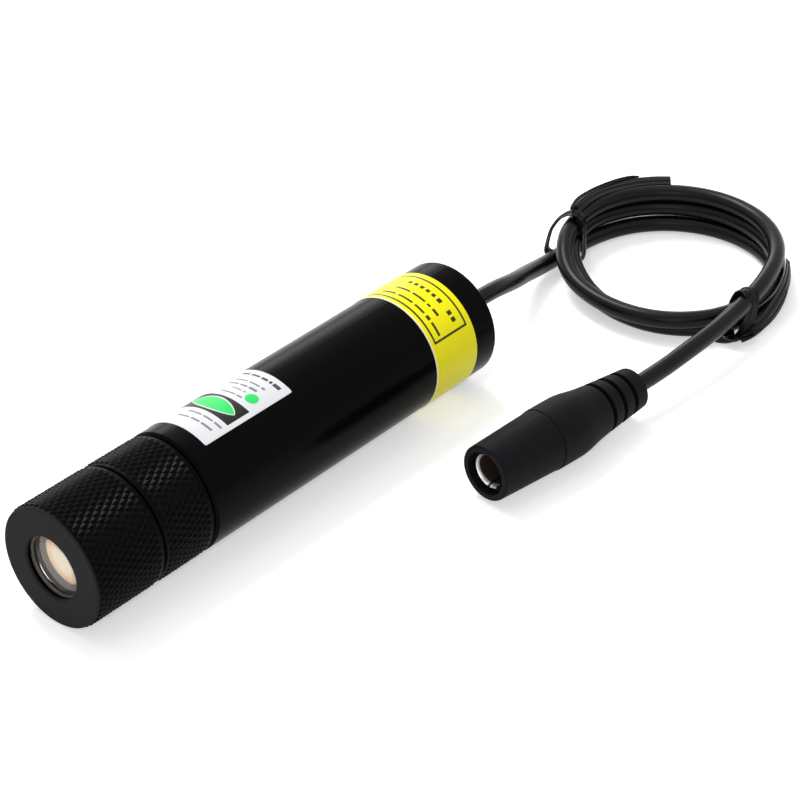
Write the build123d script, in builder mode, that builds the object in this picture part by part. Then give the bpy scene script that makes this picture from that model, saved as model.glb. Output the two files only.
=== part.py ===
# Laser diode module: a 22 mm round barrel with a screwed focusing head, a driver board and a power cord.
# The barrel lies along Y with the beam leaving towards -Y; Z is up and the barrel rests on Z = 0.
import math
import os

from build123d import *

# Barrel and its two knurled rings, in millimetres
overall_length = 98.0
barrel_diameter = 22.0
cap_length = 14.7
cap_gap = 0.4
lock_length = 10.8
shoulder_gap = 0.45
neck_step = 2.0
neck_wall = 2.5
thread_clearance = 0.06
slide_clearance = 0.06
fit_clearance = 0.05
edge_chamfer = 0.45
rear_rounding = 0.6
cut_overrun = 1.0

# Diamond knurl
knurl_pitch = 1.44
knurl_step = 1.06
knurl_depth = 0.28

# Focusing head
window_wall = 0.9
aperture_cover = 0.3
rim_chamfer = 0.3
flange_inset = 0.7
flange_thickness = 2.45
flange_clearance = 0.1
pocket_reserve = 0.6
neck_setback = 5.0
cell_length = 12.1
cell_wall = 1.4
lens_wall = 0.6
lens_edge = 1.9
lens_front_rise = 0.35
lens_back_rise = 1.6
lens_setback = 0.6
retainer_lip = 0.4
retainer_setback = 0.1
spanner_notch = 1.0
spanner_depth = 0.2
drag_wire = 0.8
drag_groove_width = 1.3
drag_setback = 4.6
key_diameter = 1.0
key_inset = 0.9
key_depth = 3.0
key_reach = 3.05
spring_wire = 0.5
spring_turns = 4.0
spring_chamber = 6.9

# Laser head inside the barrel
baffle_diameter = 8.0
baffle_length_share = 0.34
barrel_wall = 2.5
head_length = 18.0
optics_bore = 6.0
optics_depth = 9.5
waist_bore = 3.0
waist_length = 2.0
can_pocket = 4.6
base_pocket = 5.7
base_depth = 3.0
expander_setback = 0.8
expander_thickness = 1.6
expander_hollow = 0.5
filter_setback = 3.2
filter_thickness = 0.7
mount_setback = 5.0
crystal_width = 1.5
crystal_length = 3.0
diode_base_diameter = 5.6
diode_base_thickness = 1.2
can_diameter = 4.1
can_height = 2.4
can_wall = 0.3
window_hole = 1.4
window_thickness = 0.3
stem_width = 1.2
stem_height = 1.4
press_ring_thickness = 1.3
press_ring_bore = 3.9
pin_diameter = 0.45
pin_spread = 1.27
clamp_length = 2.5
clamp_wall = 4.0

# Driver board and what is soldered on it
board_gap = 1.2
board_length = 26.0
board_side_gap = 0.3
board_thickness = 1.2
board_corner = 0.8
pin_lap = 2.0
inductor_diameter = 6.0
inductor_core = 4.2
inductor_height = 3.6
inductor_lip = 0.7
capacitor_diameter = 3.2
capacitor_height = 4.6
capacitor_top_round = 0.3
capacitor_spacing = 3.8
chip_length = 4.9
chip_width = 3.9
chip_height = 1.4
chip_standoff = 0.15
chip_leg_pitch = 1.27
chip_leg_width = 0.42
chip_leg_reach = 1.0
chip_leg_count = 4
trimmer_width = 3.6
trimmer_height = 2.2
trimmer_screw_diameter = 2.2
trimmer_screw_depth = 0.7
screw_slot = 0.4
resistor_length = 2.0
resistor_width = 1.25
resistor_height = 0.5
resistor_pitch = 2.6
resistor_rows = 3
resistor_columns = 2
lead_diameter = 1.2
lead_spacing = 1.6
lead_spread = 4.6
lead_lap = 2.4
lead_bend_share = 0.66

# Rear end
rear_cap_length = 8.0
rear_cap_inset = 0.8
rear_cap_chamfer = 0.5
bush_hole = 5.2
bush_flange_diameter = 8.0
bush_flange_thickness = 1.5
bush_tail_length = 7.8
bush_root_diameter = 5.8
bush_tip_diameter = 3.9
bush_groove = 0.35

# Labels, as angles from +X towards +Z in degrees and distances from the front face
label_thickness = 0.1
name_label_start = 30.2
name_label_length = 20.6
name_label_low_degrees = 62.7
name_label_span_degrees = 107.8
name_label_corner = 0.4
band_label_setback = 5.6
band_label_length = 11.0
band_label_gap_degrees = 28.0
quarter_turn_degrees = 90
full_turn_degrees = 360

# Cord: a lead-in and a tail as tubes, and the coil between them as one solid
cord_diameter = 3.3
arc_share = 0.45
coil_center = (12.5, 101.5)
coil_outer_radius = 22.8
coil_width = 4.4
coil_height = 9.9
coil_near_height = 7.2
coil_corner_share = 0.36
straight_exit = 5.2
lead_route = [
    (-1.3, 70.2, 9.0),
    (-4.5, 78.8, 5.5),
    (-6.9, 86.9, 2.5),
    (-7.4, 93.5, 1.9),
]
tail_route = [
    (33.2, 99.5, 8.2),
    (33.8, 91.5, 8.1),
    (34.9, 82.5, 7.5),
    (35.5, 73.0, 6.7),
]

# Twist ties: flat strips round the coil
tie_thickness = 0.5
tie_width = 2.4
tie_slack = 0.3
tie_corner = 1.6
left_tie_degrees = 197.0
left_tie_reach = 1.6
left_tail_degrees = 68.0
left_tail_width = 3.0
right_tie_degrees = -23.0
right_tie_reach = 2.2
right_tie_lift = 1.6
right_tail_degrees = 52.0
right_tail_width = 2.6
right_tail_shift = 9.0

# Power socket on the cord's end
socket_front = (31.2, 20.9)
socket_turn_degrees = 5.24
socket_length = 37.3
socket_mouth_diameter = 10.3
socket_shoulder_diameter = 11.4
socket_bulge_diameter = 11.7
socket_waist_diameter = 9.6
shoulder_place_share = 0.38
bulge_place_share = 0.52
taper_place_share = 0.64
taper_size_share = 0.90
waist_place_share = 0.73
ridge_step = 0.12
rib_count = 3
rib_pitch = 3.1
rib_setback = 3.7
rib_gap = 1.0
rib_depth = 1.1
rib_taper = 0.3
mouth_rounding = 0.35
mouth_bore = 8.0
mouth_depth = 13.0
insert_inset = 1.1
insert_bore = 6.4
insert_floor = 2.0
contact_thickness = 0.25
contact_setback = 0.1
contact_span_degrees = 220.0
contact_turn_degrees = 65.0
plug_pin_diameter = 2.1
plug_pin_length = 6.0
plug_pin_tip = 0.5

# Places worked out from the sizes above
barrel_radius = barrel_diameter / 2
axis_height = barrel_radius
front = -overall_length / 2
rear = overall_length / 2
thread_diameter = barrel_diameter - 2 * neck_step
guide_diameter = thread_diameter - 2 * neck_wall
flange_diameter = thread_diameter - 2 * flange_inset
cell_bore_diameter = guide_diameter - 2 * cell_wall
lens_diameter = guide_diameter - 2 * lens_wall
aperture_diameter = lens_diameter - 2 * aperture_cover
key_offset = guide_diameter / 2 + key_inset
bore_diameter = barrel_diameter - 2 * barrel_wall
clamp_bore = bore_diameter - 2 * clamp_wall
board_width = bore_diameter - 2 * board_side_gap
cap_back = front + cap_length
lock_front = cap_back + cap_gap
lock_back = lock_front + lock_length
shoulder = lock_back + shoulder_gap
neck_front = front + neck_setback
neck_radius = thread_diameter / 2
thread_bore = neck_radius + thread_clearance
aperture_radius = aperture_diameter / 2
flange_front = front + window_wall + fit_clearance
flange_back = flange_front + flange_thickness
pocket_radius = flange_diameter / 2 + flange_clearance
pocket_back = flange_back + pocket_reserve
cell_radius = guide_diameter / 2 - slide_clearance
cell_back = flange_front + cell_length
lens_front = flange_front + lens_setback
lens_back = lens_front + lens_edge
baffle_front = cell_back + spring_chamber
rear_face = rear - rear_cap_inset
rear_cap_front = rear_face - rear_cap_length
stack_length = head_length + clamp_length + board_gap + board_length
head_front = baffle_front + baffle_length_share * (rear_cap_front - baffle_front - stack_length)
head_back = head_front + head_length
bore_radius = bore_diameter / 2
clamp_back = head_back + clamp_length
board_front = clamp_back + board_gap
board_back = board_front + board_length
board_top = axis_height + board_thickness / 2
bush_front = rear_cap_front
bush_tip = rear_face + bush_tail_length
cord_radius = cord_diameter / 2

beam_axis = Axis((0, 0, axis_height), (0, 1, 0))
turning_axis = Axis((0, 0, axis_height), (0, -1, 0))


def length_plane(angle):
    """Half plane through the barrel's axis: sketch X runs along the barrel, sketch Y outwards."""
    turn = math.radians(angle)
    return Plane(origin=(0, 0, axis_height), x_dir=(0, 1, 0), z_dir=(math.sin(turn), 0, -math.cos(turn)))


def cross_plane(place):
    """Plane across the barrel, with sketch Y up; extrusions run towards the front."""
    return Plane(origin=(0, place, axis_height), x_dir=(1, 0, 0), z_dir=(0, -1, 0))


axial = length_plane(90)


def ring(start, stop, inner, outer, mode=Mode.ADD):
    """Section of a turned ring, from start to stop along the axis."""
    with Locations(((start + stop) / 2, (inner + outer) / 2)):
        Rectangle(stop - start, outer - inner, mode=mode)


def ball_radius(half_width, rise):
    """Radius of the sphere whose cap has this half width and rise."""
    return (half_width**2 + rise**2) / (2 * rise)


def cap_rise(half_width, rise, at):
    """How far a spherical cap stands above its rim at this distance from its middle."""
    ball = ball_radius(half_width, rise)
    return math.sqrt(ball**2 - at**2) - (ball - rise)


def outer_circles(part):
    """The largest round edges of a turned part, from front to back."""
    return part.edges().filter_by(GeomType.CIRCLE).group_by(SortBy.RADIUS)[-1].sort_by(Axis.Y)


def knurled_blank(start, stop):
    """Solid round bar whose side is a diamond knurl of flat faces, with a chamfered rim at each end."""
    count = round(math.pi * barrel_diameter / knurl_pitch)
    rows = round((stop - start - 2 * edge_chamfer) / knurl_step)
    step = (stop - start - 2 * edge_chamfer) / rows
    low = barrel_radius - knurl_depth
    rim = low - edge_chamfer

    def loop(place, radii):
        points = []
        for i in range(2 * count):
            angle = math.pi * i / count
            radius = radii[i % 2]
            points.append((radius * math.sin(angle), place, axis_height + radius * math.cos(angle)))
        return points

    loops = [loop(start, (rim, rim))]
    for j in range(rows + 1):
        radii = (low, barrel_radius) if j % 2 else (barrel_radius, low)
        loops.append(loop(start + edge_chamfer + step * j, radii))
    loops.append(loop(stop, (rim, rim)))
    faces = [Face(Wire.make_polygon(loops[0])), Face(Wire.make_polygon(loops[-1]))]
    for j, (near, far) in enumerate(zip(loops, loops[1:])):
        for i in range(2 * count):
            k = (i + 1) % (2 * count)
            if (i + j) % 2:
                corners = [(near[i], near[k], far[i]), (near[k], far[k], far[i])]
            else:
                corners = [(near[i], near[k], far[k]), (near[i], far[k], far[i])]
            faces += [Face(Wire.make_polygon(list(three))) for three in corners]
    return Solid(Shell(faces))


# Barrel: threaded neck, shoulder, smooth body and one through bore in three sizes
with BuildPart() as barrel:
    with BuildSketch(axial):
        ring(neck_front, rear, 0, neck_radius)
        ring(shoulder, rear, 0, barrel_radius)
        ring(neck_front, baffle_front, 0, guide_diameter / 2, mode=Mode.SUBTRACT)
        ring(baffle_front, head_front, 0, baffle_diameter / 2, mode=Mode.SUBTRACT)
        ring(head_front, rear, 0, bore_radius, mode=Mode.SUBTRACT)
        drag_middle = neck_front + drag_setback
        drag_floor = neck_radius - drag_wire
        groove = (drag_middle - drag_groove_width / 2, drag_middle + drag_groove_width / 2)
        ring(*groove, drag_floor, neck_radius, mode=Mode.SUBTRACT)
    revolve(axis=beam_axis)
    chamfer(outer_circles(barrel)[0], length=edge_chamfer)
    fillet(outer_circles(barrel)[-1], radius=rear_rounding)
    with BuildSketch(cross_plane(neck_front)):
        with Locations((0, -key_offset)):
            Circle(key_diameter / 2)
    extrude(amount=-key_depth, mode=Mode.SUBTRACT)
barrel.part.label = "barrel"

# Knurled focusing cap, screwed on the neck
with BuildPart() as focus_cap:
    add(knurled_blank(front, cap_back))
    with BuildSketch(axial):
        with BuildLine():
            Polyline(
                (front - cut_overrun, 0),
                (front - cut_overrun, aperture_radius + rim_chamfer + cut_overrun),
                (front, aperture_radius + rim_chamfer),
                (front + rim_chamfer, aperture_radius),
                (front + window_wall, aperture_radius),
                (front + window_wall, pocket_radius),
                (pocket_back, pocket_radius),
                (pocket_back, thread_bore),
                (cap_back + cut_overrun, thread_bore),
                (cap_back + cut_overrun, 0),
                close=True,
            )
        make_face()
    revolve(axis=beam_axis, mode=Mode.SUBTRACT)
focus_cap.part.label = "focus_cap"

# Knurled lock ring behind the cap
with BuildPart() as lock_ring:
    add(knurled_blank(lock_front, lock_back))
    with BuildSketch(axial):
        ring(lock_front - cut_overrun, lock_back + cut_overrun, 0, thread_bore)
    revolve(axis=beam_axis, mode=Mode.SUBTRACT)
lock_ring.part.label = "lock_ring"

# Brass lens cell that slides in the neck, turned by nothing but carried by the cap
with BuildPart() as lens_cell:
    with BuildSketch(axial):
        ring(flange_front, flange_back, 0, flange_diameter / 2)
        ring(flange_back, cell_back, 0, cell_radius)
        lens_seat = lens_back + cap_rise(lens_diameter / 2, lens_back_rise, cell_bore_diameter / 2)
        ring(flange_front, lens_seat, 0, lens_diameter / 2 + fit_clearance, mode=Mode.SUBTRACT)
        ring(lens_seat, cell_back, 0, cell_bore_diameter / 2, mode=Mode.SUBTRACT)
    revolve(axis=beam_axis)
    with BuildSketch(cross_plane(flange_front)):
        with Locations((0, -key_offset)):
            Circle(key_diameter / 2 + slide_clearance)
    extrude(amount=-flange_thickness, mode=Mode.SUBTRACT)
lens_cell.part.label = "lens_cell"

# Collimating lens, convex on both sides
with BuildPart() as output_lens:
    with BuildSketch(axial):
        with BuildLine():
            half = lens_diameter / 2
            front_tip = (lens_front - lens_front_rise, 0)
            back_tip = (lens_back + lens_back_rise, 0)
            RadiusArc(front_tip, (lens_front, half), ball_radius(half, lens_front_rise))
            Line((lens_front, half), (lens_back, half))
            RadiusArc((lens_back, half), back_tip, ball_radius(half, lens_back_rise))
            Line(back_tip, front_tip)
        make_face()
    revolve(axis=beam_axis)
output_lens.part.label = "output_lens"

# Threaded ring that holds the lens, with two spanner notches
with BuildPart() as lens_retainer:
    with BuildSketch(axial):
        retainer_bore = lens_diameter / 2 - retainer_lip
        retainer_back = lens_front - cap_rise(lens_diameter / 2, lens_front_rise, retainer_bore)
        ring(flange_front + retainer_setback, retainer_back, retainer_bore, lens_diameter / 2)
    revolve(axis=beam_axis)
    with BuildSketch(cross_plane(flange_front)):
        Rectangle(lens_diameter, spanner_notch)
    extrude(amount=-retainer_setback - spanner_depth, mode=Mode.SUBTRACT)
lens_retainer.part.label = "lens_retainer"

# Rubber drag ring in the neck's groove
with BuildPart() as drag_ring:
    with BuildSketch(axial):
        with Locations((drag_middle, drag_floor + drag_wire / 2)):
            Circle(drag_wire / 2)
    revolve(axis=beam_axis)
drag_ring.part.label = "drag_ring"

# Steel key pin pressed in the neck's end
with BuildPart() as key_pin:
    with BuildSketch(cross_plane(neck_front + key_depth)):
        with Locations((0, -key_offset)):
            Circle(key_diameter / 2)
    extrude(amount=key_depth + key_reach)
key_pin.part.label = "key_pin"

# Focus spring between the neck's step and the lens cell
with BuildPart() as focus_spring:
    coil_radius = cell_radius - spring_wire
    with BuildLine() as spring_line:
        spring_height = spring_chamber - spring_wire - 2 * fit_clearance
        Helix(
            pitch=spring_height / spring_turns,
            height=spring_height,
            radius=coil_radius,
            center=(0, cell_back + spring_wire / 2 + fit_clearance, axis_height),
            direction=(0, 1, 0),
        )
    with BuildSketch(Plane(origin=spring_line.line @ 0, z_dir=spring_line.line % 0)):
        Circle(spring_wire / 2)
    sweep(is_frenet=True)
focus_spring.part.label = "focus_spring"

# Brass heat sink that holds the optics in front and the diode behind
with BuildPart() as laser_head:
    with BuildSketch(axial):
        optics_back = head_front + optics_depth
        waist_back = optics_back + waist_length
        base_front = head_back - base_depth
        ring(head_front, head_back, 0, bore_radius - fit_clearance)
        ring(head_front, optics_back, 0, optics_bore / 2, mode=Mode.SUBTRACT)
        ring(optics_back, waist_back, 0, waist_bore / 2, mode=Mode.SUBTRACT)
        ring(waist_back, base_front, 0, can_pocket / 2, mode=Mode.SUBTRACT)
        ring(base_front, head_back, 0, base_pocket / 2, mode=Mode.SUBTRACT)
    revolve(axis=beam_axis)
laser_head.part.label = "laser_head"

# Expander lens, hollow in front and flat behind
with BuildPart() as expander_lens:
    with BuildSketch(axial):
        with BuildLine():
            half = optics_bore / 2 - fit_clearance
            face = head_front + expander_setback
            back = face + expander_thickness
            RadiusArc((face, half), (face + expander_hollow, 0), ball_radius(half, expander_hollow))
            Polyline((face + expander_hollow, 0), (back, 0), (back, half), (face, half))
        make_face()
    revolve(axis=beam_axis)
expander_lens.part.label = "expander_lens"

# Coloured glass disc that stops the pump light
with BuildPart() as infrared_filter:
    with BuildSketch(axial):
        place = head_front + filter_setback
        ring(place, place + filter_thickness, 0, optics_bore / 2 - fit_clearance)
    revolve(axis=beam_axis)
infrared_filter.part.label = "infrared_filter"

# Copper mount with the crystal in its square hole
with BuildPart() as crystal_mount:
    with BuildSketch(axial):
        mount_front = head_front + mount_setback
        ring(mount_front, optics_back, 0, optics_bore / 2 - fit_clearance)
    revolve(axis=beam_axis)
    with BuildSketch(cross_plane(mount_front)):
        Rectangle(crystal_width + fit_clearance, crystal_width + fit_clearance)
    extrude(amount=mount_front - optics_back, mode=Mode.SUBTRACT)
crystal_mount.part.label = "crystal_mount"

with BuildPart() as laser_crystal:
    with BuildSketch(cross_plane((mount_front + optics_back + crystal_length) / 2)):
        Rectangle(crystal_width, crystal_width)
    extrude(amount=crystal_length)
laser_crystal.part.label = "laser_crystal"

# Diode: header with its stem, can with a window, three pins and the ring that presses it in
with BuildPart() as diode_base:
    with BuildSketch(axial):
        base_back = base_front + diode_base_thickness
        ring(base_front, base_back, 0, diode_base_diameter / 2)
    revolve(axis=beam_axis)
    with BuildSketch(cross_plane(base_front)):
        with Locations((0, -stem_width / 2)):
            Rectangle(stem_width, stem_width)
    extrude(amount=stem_height)
diode_base.part.label = "diode_base"

with BuildPart() as diode_can:
    with BuildSketch(axial):
        can_front = base_front - can_height
        ring(can_front, base_front, 0, can_diameter / 2)
        ring(can_front + can_wall, base_front, 0, can_diameter / 2 - can_wall, mode=Mode.SUBTRACT)
        ring(can_front, can_front + can_wall, 0, window_hole / 2, mode=Mode.SUBTRACT)
    revolve(axis=beam_axis)
diode_can.part.label = "diode_can"

with BuildPart() as diode_window:
    with BuildSketch(axial):
        glass_front = can_front + can_wall
        ring(glass_front, glass_front + window_thickness, 0, can_diameter / 2 - can_wall - fit_clearance)
    revolve(axis=beam_axis)
diode_window.part.label = "diode_window"

pin_height = (board_thickness + pin_diameter) / 2
with BuildPart() as diode_pins:
    with BuildSketch(cross_plane(base_back)):
        with Locations((-pin_spread, pin_height), (pin_spread, pin_height), (0, -pin_height)):
            Circle(pin_diameter / 2)
    extrude(amount=base_back - board_front - pin_lap)
diode_pins.part.label = "diode_pins"

with BuildPart() as diode_ring:
    with BuildSketch(axial):
        press_ring_back = base_back + press_ring_thickness
        ring(base_back, press_ring_back, press_ring_bore / 2, base_pocket / 2 - fit_clearance)
    revolve(axis=beam_axis)
diode_ring.part.label = "diode_ring"

# Threaded ring that clamps the head against the barrel's step
with BuildPart() as head_clamp:
    with BuildSketch(axial):
        ring(head_back, clamp_back, clamp_bore / 2, bore_radius - fit_clearance)
    revolve(axis=beam_axis)
    with BuildSketch(cross_plane(clamp_back)):
        Rectangle(bore_diameter, spanner_notch)
    extrude(amount=clamp_length / 2, mode=Mode.SUBTRACT)
head_clamp.part.label = "head_clamp"

# Driver board, which slides in the bore edge to edge
board_middle = (board_front + board_back) / 2
board_plane = Plane(origin=(0, board_middle, axis_height - board_thickness / 2))
top_plane = Plane(origin=(0, board_middle, board_top))
with BuildPart() as driver_board:
    with BuildSketch(board_plane):
        RectangleRounded(board_width, board_length, board_corner)
    extrude(amount=board_thickness)
driver_board.part.label = "driver_board"

# Places of the parts along the board, from its middle
inductor_place = (0, -board_length / 2 + pin_lap + inductor_diameter)
chip_place = (-board_width / 4, board_length / 12)
trimmer_place = (board_width / 4, board_length / 12)
capacitor_place = (0, board_length / 4)
resistor_place = (0, -inductor_diameter / 4)

with BuildPart() as drive_inductor:
    with BuildSketch(top_plane):
        with Locations(inductor_place):
            Circle(inductor_diameter / 2)
    extrude(amount=inductor_height)
    with BuildSketch(top_plane.offset(inductor_lip)):
        with Locations(inductor_place):
            Circle(inductor_diameter / 2)
            Circle(inductor_core / 2, mode=Mode.SUBTRACT)
    extrude(amount=inductor_height - 2 * inductor_lip, mode=Mode.SUBTRACT)
drive_inductor.part.label = "drive_inductor"

with BuildPart() as storage_capacitors:
    with BuildSketch(top_plane):
        with Locations(capacitor_place):
            with GridLocations(capacitor_spacing, 0, 2, 1):
                Circle(capacitor_diameter / 2)
    extrude(amount=capacitor_height)
    fillet(storage_capacitors.faces().group_by(Axis.Z)[-1].edges(), radius=capacitor_top_round)
storage_capacitors.part.label = "storage_capacitors"

with BuildPart() as drive_chip:
    with BuildSketch(top_plane.offset(chip_standoff)):
        with Locations(chip_place):
            Rectangle(chip_width, chip_length)
    extrude(amount=chip_height)
    with BuildSketch(top_plane):
        with Locations(chip_place):
            with GridLocations(0, chip_leg_pitch, 1, chip_leg_count):
                Rectangle(chip_width + 2 * chip_leg_reach, chip_leg_width)
    extrude(amount=chip_standoff + chip_height / 3)
drive_chip.part.label = "drive_chip"

with BuildPart() as trimmer:
    with BuildSketch(top_plane):
        with Locations(trimmer_place):
            Rectangle(trimmer_width, trimmer_width)
    extrude(amount=trimmer_height)
    with BuildSketch(top_plane.offset(trimmer_height)):
        with Locations(trimmer_place):
            Circle(trimmer_screw_diameter / 2 + fit_clearance)
    extrude(amount=-trimmer_screw_depth, mode=Mode.SUBTRACT)
trimmer.part.label = "trimmer"

with BuildPart() as trimmer_screw:
    with BuildSketch(top_plane.offset(trimmer_height - trimmer_screw_depth)):
        with Locations(trimmer_place):
            Circle(trimmer_screw_diameter / 2)
    extrude(amount=trimmer_screw_depth)
    with BuildSketch(top_plane.offset(trimmer_height)):
        with Locations(trimmer_place):
            Rectangle(trimmer_screw_diameter, screw_slot)
    extrude(amount=-trimmer_screw_depth / 2, mode=Mode.SUBTRACT)
trimmer_screw.part.label = "trimmer_screw"

with BuildPart() as small_resistors:
    with BuildSketch(board_plane):
        with Locations(resistor_place):
            with GridLocations(2 * resistor_pitch, resistor_pitch, resistor_columns, resistor_rows):
                Rectangle(resistor_length, resistor_width)
    extrude(amount=-resistor_height)
small_resistors.part.label = "small_resistors"


def round_wire(points, diameter, bend):
    """Round wire along straight runs joined by arcs."""
    with BuildPart() as wire:
        with BuildLine() as path:
            FilletPolyline(*points, radius=bend)
        with BuildSketch(Plane(origin=path.line @ 0, z_dir=path.line % 0)):
            Circle(diameter / 2)
        sweep()
    return wire.part


def board_lead(side):
    """One of the two wires from the board's top to the strain relief."""
    lead_height = board_top + lead_diameter / 2
    end_run = min(lead_lap, (bush_front - board_back) / 3)
    points = [
        (side * lead_spread / 2, board_back - lead_lap, lead_height),
        (side * lead_spread / 2, board_back, lead_height),
        (side * lead_spacing / 2, bush_front - end_run, axis_height),
        (side * lead_spacing / 2, bush_front, axis_height),
    ]
    return round_wire(points, lead_diameter, lead_bend_share * end_run)


lead_red = board_lead(1)
lead_red.label = "lead_red"
lead_black = board_lead(-1)
lead_black.label = "lead_black"

# Plug in the barrel's rear end, bored for the strain relief
with BuildPart() as rear_cap:
    with BuildSketch(axial):
        ring(rear_cap_front, rear_face, 0, bore_radius - fit_clearance)
        flange_end = rear_cap_front + bush_flange_thickness
        ring(rear_cap_front, flange_end, 0, bush_flange_diameter / 2 + fit_clearance, mode=Mode.SUBTRACT)
        ring(flange_end, rear_face, 0, bush_hole / 2 + fit_clearance, mode=Mode.SUBTRACT)
    revolve(axis=beam_axis)
    chamfer(outer_circles(rear_cap)[-1], length=rear_cap_chamfer)
rear_cap.part.label = "rear_cap"

# Strain relief moulded on the cord: inner flange, neck and tapered tail with two soft grooves
with BuildPart() as cord_bush:
    with BuildSketch(axial):
        ring(bush_front, flange_end, 0, bush_flange_diameter / 2)
        ring(flange_end, rear_face, 0, bush_hole / 2)
        with BuildLine():
            Polyline(
                (rear_face, 0),
                (rear_face, bush_root_diameter / 2),
                (bush_tip, bush_tip_diameter / 2),
                (bush_tip, 0),
                close=True,
            )
        make_face()
        for third in (1, 2):
            place = rear_face + bush_tail_length * third / 3
            slit = (place, place + bush_groove * 2)
            ring(*slit, bush_tip_diameter / 2, bush_root_diameter / 2, mode=Mode.SUBTRACT)
    revolve(axis=beam_axis)
cord_bush.part.label = "cord_bush"


def wrapped_label(start, length, low_end, arc):
    """Thin sheet glued round the barrel."""
    with BuildPart() as label:
        with BuildSketch(length_plane(low_end)):
            ring(start, start + length, barrel_radius, barrel_radius + label_thickness)
        revolve(axis=turning_axis, revolution_arc=arc)
    return label.part


with BuildPart() as name_label:
    name_start = front + name_label_start
    add(wrapped_label(name_start, name_label_length, name_label_low_degrees, name_label_span_degrees))
    fillet(name_label.edges().group_by(SortBy.LENGTH)[0], radius=name_label_corner)
name_label.part.label = "name_label"

with BuildPart() as band_label:
    low_end = band_label_gap_degrees / 2 - quarter_turn_degrees
    band_span = full_turn_degrees - band_label_gap_degrees
    add(wrapped_label(rear - band_label_setback - band_label_length, band_label_length, low_end, band_span))
band_label.part.label = "band_label"


def cord_tube(points, name):
    """Cord jacket along straight runs, each joined to the next by the largest arc they allow."""
    corners = [Vector(*point) for point in points]
    radii = []
    for before, here, after in zip(corners, corners[1:], corners[2:]):
        shorter = min((here - before).length, (after - here).length)
        turn = math.radians((here - before).get_angle(after - here))
        radii.append(arc_share * shorter / math.tan(turn / 2))
    print(name, "bend radii", [round(radius, 1) for radius in radii])
    tube = round_wire(corners, cord_diameter, radii)
    with BuildLine() as path:
        FilletPolyline(*corners, radius=radii)
    length = sum(edge.length for edge in path.line.edges())
    plain = math.pi * cord_radius**2 * length
    print(name, "volume", round(tube.volume, 2), "of", round(plain, 2), "length", round(length, 2))
    tube.label = name
    return tube


# Power socket: a moulded shell with ribs, lying on the surface beside the barrel
turn = math.radians(socket_turn_degrees)
socket_height = socket_bulge_diameter / 2
socket_origin = (*socket_front, socket_height)
along_socket = (math.sin(turn), math.cos(turn), 0)
socket_plane = Plane(origin=socket_origin, x_dir=along_socket, z_dir=(math.cos(turn), -math.sin(turn), 0))
socket_axis = Axis(socket_origin, along_socket)
lead_start = [(0, bush_tip, axis_height), (0, bush_tip + straight_exit, axis_height)]
tail_end = [
    socket_plane.from_local_coords((socket_length + straight_exit, 0, 0)),
    socket_plane.from_local_coords((socket_length, 0, 0)),
]
print("cord ends", lead_start, [tuple(round(c, 2) for c in point) for point in tail_end])

cord_lead = cord_tube(lead_start + lead_route, "cord_lead")
cord_tail = cord_tube(tail_route + tail_end, "cord_tail")

with BuildPart() as socket_shell:
    with BuildSketch(socket_plane):
        with BuildLine():
            mouth = (0, socket_mouth_diameter / 2)
            ridge = (socket_length * shoulder_place_share, socket_shoulder_diameter / 2)
            step = (ridge[0], ridge[1] + ridge_step)
            bulge = (socket_length * bulge_place_share, socket_bulge_diameter / 2)
            taper = (socket_length * taper_place_share, socket_bulge_diameter * taper_size_share / 2)
            waist = (socket_length * waist_place_share, socket_waist_diameter / 2)
            tail = (socket_length, waist[1] - rib_count * rib_taper)
            Polyline(mouth, ridge, step)
            Spline(step, bulge, tangents=[(bulge[0] - step[0], 2 * (bulge[1] - step[1])), (1, 0)])
            Spline(bulge, taper, waist, tangents=[(1, 0), (1, -rib_taper / rib_pitch)])
            Polyline(waist, tail, (socket_length, 0), (0, 0), mouth)
        make_face()
        ring(0, mouth_depth, 0, mouth_bore / 2, mode=Mode.SUBTRACT)
        for i in range(rib_count):
            place = socket_length - rib_setback - rib_pitch * i
            floor = tail[1] + rib_taper * i - rib_depth
            ring(place, place + rib_gap, floor, waist[1] * 2, mode=Mode.SUBTRACT)
    revolve(axis=socket_axis)
    mouth_edges = socket_shell.edges().filter_by(GeomType.CIRCLE).sort_by(socket_axis)[:2]
    fillet(mouth_edges.sort_by(SortBy.RADIUS)[-1], radius=mouth_rounding)
socket_shell.part.label = "socket_shell"

with BuildPart() as socket_insert:
    with BuildSketch(socket_plane):
        ring(insert_inset, mouth_depth, 0, mouth_bore / 2 - fit_clearance)
        ring(insert_inset, mouth_depth - insert_floor, 0, insert_bore / 2, mode=Mode.SUBTRACT)
    revolve(axis=socket_axis)
socket_insert.part.label = "socket_insert"

with BuildPart() as socket_contact:
    lean = math.radians(contact_turn_degrees)
    leaf_normal = (math.cos(turn) * math.cos(lean), -math.sin(turn) * math.cos(lean), -math.sin(lean))
    with BuildSketch(Plane(origin=socket_origin, x_dir=along_socket, z_dir=leaf_normal)):
        leaf_front = insert_inset + contact_setback
        leaf_outer = insert_bore / 2 - fit_clearance
        ring(leaf_front, mouth_depth - insert_floor, leaf_outer - contact_thickness, leaf_outer)
    revolve(axis=socket_axis, revolution_arc=contact_span_degrees)
socket_contact.part.label = "socket_contact"

with BuildPart() as socket_pin:
    with BuildSketch(socket_plane):
        pin_back = mouth_depth - insert_floor
        ring(pin_back - plug_pin_length, pin_back, 0, plug_pin_diameter / 2)
    revolve(axis=socket_axis)
    pin_rims = socket_pin.edges().filter_by(GeomType.CIRCLE).sort_by(socket_axis)
    fillet(pin_rims[0], radius=plug_pin_tip)
socket_pin.part.label = "socket_pin"

# Coil of cord: the outer shape of its turns, lower on the near side
coil_axis = Axis((*coil_center, 0), (0, 0, 1))


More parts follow.
